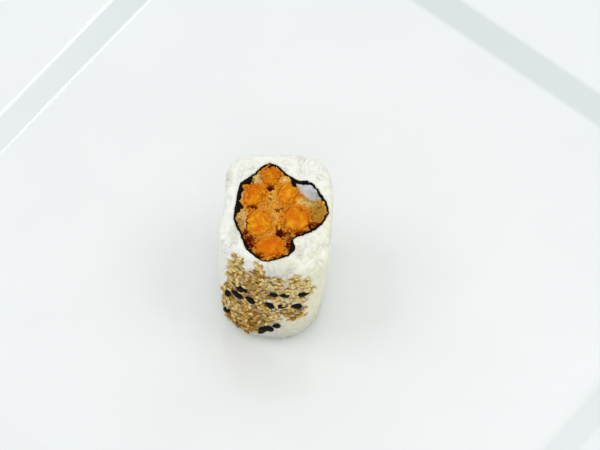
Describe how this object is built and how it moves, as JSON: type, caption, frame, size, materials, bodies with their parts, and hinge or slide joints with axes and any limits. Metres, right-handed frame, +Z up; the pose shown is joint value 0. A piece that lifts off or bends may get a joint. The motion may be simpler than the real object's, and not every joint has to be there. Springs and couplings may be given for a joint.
{
  "type": "vegetable sushi roll",
  "caption": "Inside-out sushi roll of rice, seaweed and battered vegetable sticks with sesame, standing on its cut end on a wide square porcelain plate.",
  "frame": {"origin": "middle of the plate's foot, on the surface that the plate stands on", "axes": "+Z up; X and Y along the plate's sides; the roll's front faces the corner between +X and -Y"},
  "size_m": [0.3, 0.3, 0.0614],
  "materials": {
    "porcelain": "smooth white glaze",
    "rice": "moist cooked rice, satin",
    "seaweed": "moist dark seaweed, satin",
    "batter": "fried crumbly batter, slightly oily",
    "vegetable": "cooked orange vegetable, moist",
    "sesame_pale": "toasted sesame, matt",
    "sesame_black": "black sesame, satin"
  },
  "bodies": {
    "root": {"plate": "porcelain", "rice": "rice", "seaweed": "seaweed", "batter": "batter", "rice_wedge": "rice", "stick_back": "vegetable", "stick_back_left": "vegetable", "stick_back_right": "vegetable", "stick_middle_left": "vegetable", "stick_middle_right": "vegetable", "stick_front": "vegetable"}
  },
  "joints": []
}
